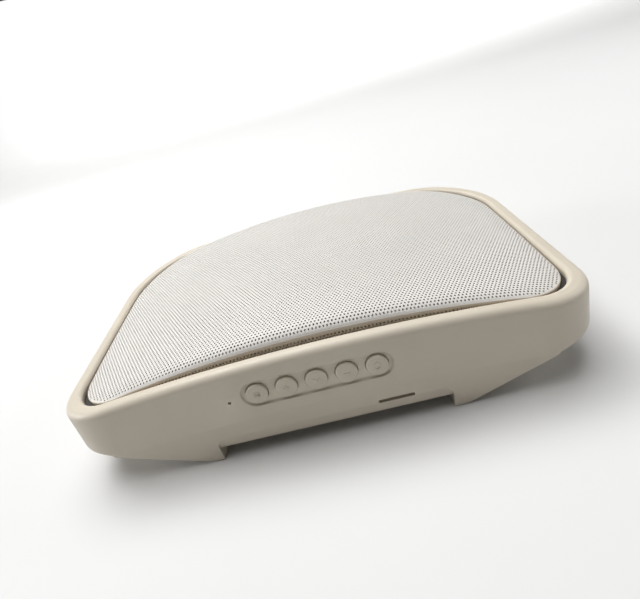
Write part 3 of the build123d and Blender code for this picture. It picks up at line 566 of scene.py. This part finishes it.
# each light's name, place, the point it aims at, width and height in metres, and power in watts
LIGHTS = [
    ("softbox", (-0.20, 0.42, 1.50), (0.0, 0.30, 0.0), (1.7, 1.4), 28.5),
    ("key", (-0.42, 0.42, 0.95), (0.0, 0.0, 0.02), (0.5, 0.4), 4.0),
    ("left_edge", (-1.0, 0.05, 0.35), (-0.1, 0.0, 0.02), (0.3, 0.3), 3.2),
    ("right_edge", (0.85, 0.15, 0.35), (0.1, 0.0, 0.02), (0.3, 0.3), 1.4),
    ("backdrop", (0.1, 1.2, 1.0), (0.2, 3.0, 0.0), (1.8, 0.5), 34.0),
]


def paper_sweep():
    """A round paper floor that curves up at its edge: a profile turned about Z, with its centre closed.

    Beyond the flat part, (r, z) = (flat + c sin t, c (1 - cos t)), with t from 0 to the rise.
    """
    rise = np.radians(np.linspace(0.0, FLOOR_RISE, FLOOR_CURVE_RINGS))[1:]
    flat = np.linspace(FLOOR_CENTRE_RADIUS, FLOOR_FLAT_RADIUS, FLOOR_FLAT_RINGS)
    radius = np.concatenate([flat, FLOOR_FLAT_RADIUS + FLOOR_CURVE_RADIUS * np.sin(rise)])
    height = np.concatenate([np.zeros(FLOOR_FLAT_RINGS), FLOOR_CURVE_RADIUS * (1 - np.cos(rise))])
    across = len(radius)
    turn = np.linspace(0.0, 2 * math.pi, FLOOR_STEPS, endpoint=False)
    ring = np.stack([np.cos(turn), np.sin(turn)], 1)
    heights = np.broadcast_to(height[:, None], (FLOOR_STEPS, across, 1))
    points = np.concatenate([ring[:, None] * radius[:, None], heights], 2).reshape(-1, 3)
    middle = (np.arange(FLOOR_STEPS) * across).tolist()
    mesh = bpy.data.meshes.new("floor")
    mesh.from_pydata(points.tolist(), [], ring_faces(FLOOR_STEPS, across) + [middle])
    mesh.polygons.foreach_set("use_smooth", np.ones(len(mesh.polygons), bool))
    mesh.materials.append(studio_paper("floor_paper", (0.70, 0.70, 0.695)))
    floor = bpy.data.objects.new("floor", mesh)
    bpy.context.scene.collection.objects.link(floor)


def pale_surroundings():
    """A faint, even white light from every side."""
    world = bpy.data.worlds.new("studio")
    bpy.context.scene.world = world
    world.use_nodes = True
    background = world.node_tree.nodes["Background"]
    background.inputs["Color"].default_value = (1.0, 1.0, 1.0, 1.0)
    background.inputs["Strength"].default_value = WORLD_STRENGTH


def area_light(name, place, aim, size, power):
    data = bpy.data.lights.new(name, "AREA")
    data.shape = "RECTANGLE"
    data.size, data.size_y = size
    data.energy = power
    lamp = bpy.data.objects.new(name, data)
    bpy.context.scene.collection.objects.link(lamp)
    lamp.location = place
    lamp.rotation_euler = (Vector(aim) - Vector(place)).to_track_quat("-Z", "Y").to_euler()


def plain_camera():
    """The viewing camera: close, looking down at the front, and rolled so the right end rises."""
    data = bpy.data.cameras.new("view")
    data.sensor_width = SENSOR_WIDTH
    data.lens = FOCAL_LENGTH
    data.clip_start = CLIP_START
    camera = bpy.data.objects.new("view", data)
    bpy.context.scene.collection.objects.link(camera)
    forward = Vector(CAMERA_FORWARD).normalized()
    level = forward.to_track_quat("-Z", "Y").to_matrix()
    roll = Matrix.Rotation(math.radians(CAMERA_ROLL), 3, forward)
    camera.matrix_world = Matrix.Translation(CAMERA_PLACE) @ (roll @ level).to_4x4()
    bpy.context.scene.camera = camera


pale_surroundings()
paper_sweep()
for light in LIGHTS:
    area_light(*light)
plain_camera()
bpy.context.scene.view_settings.view_transform = "Standard"
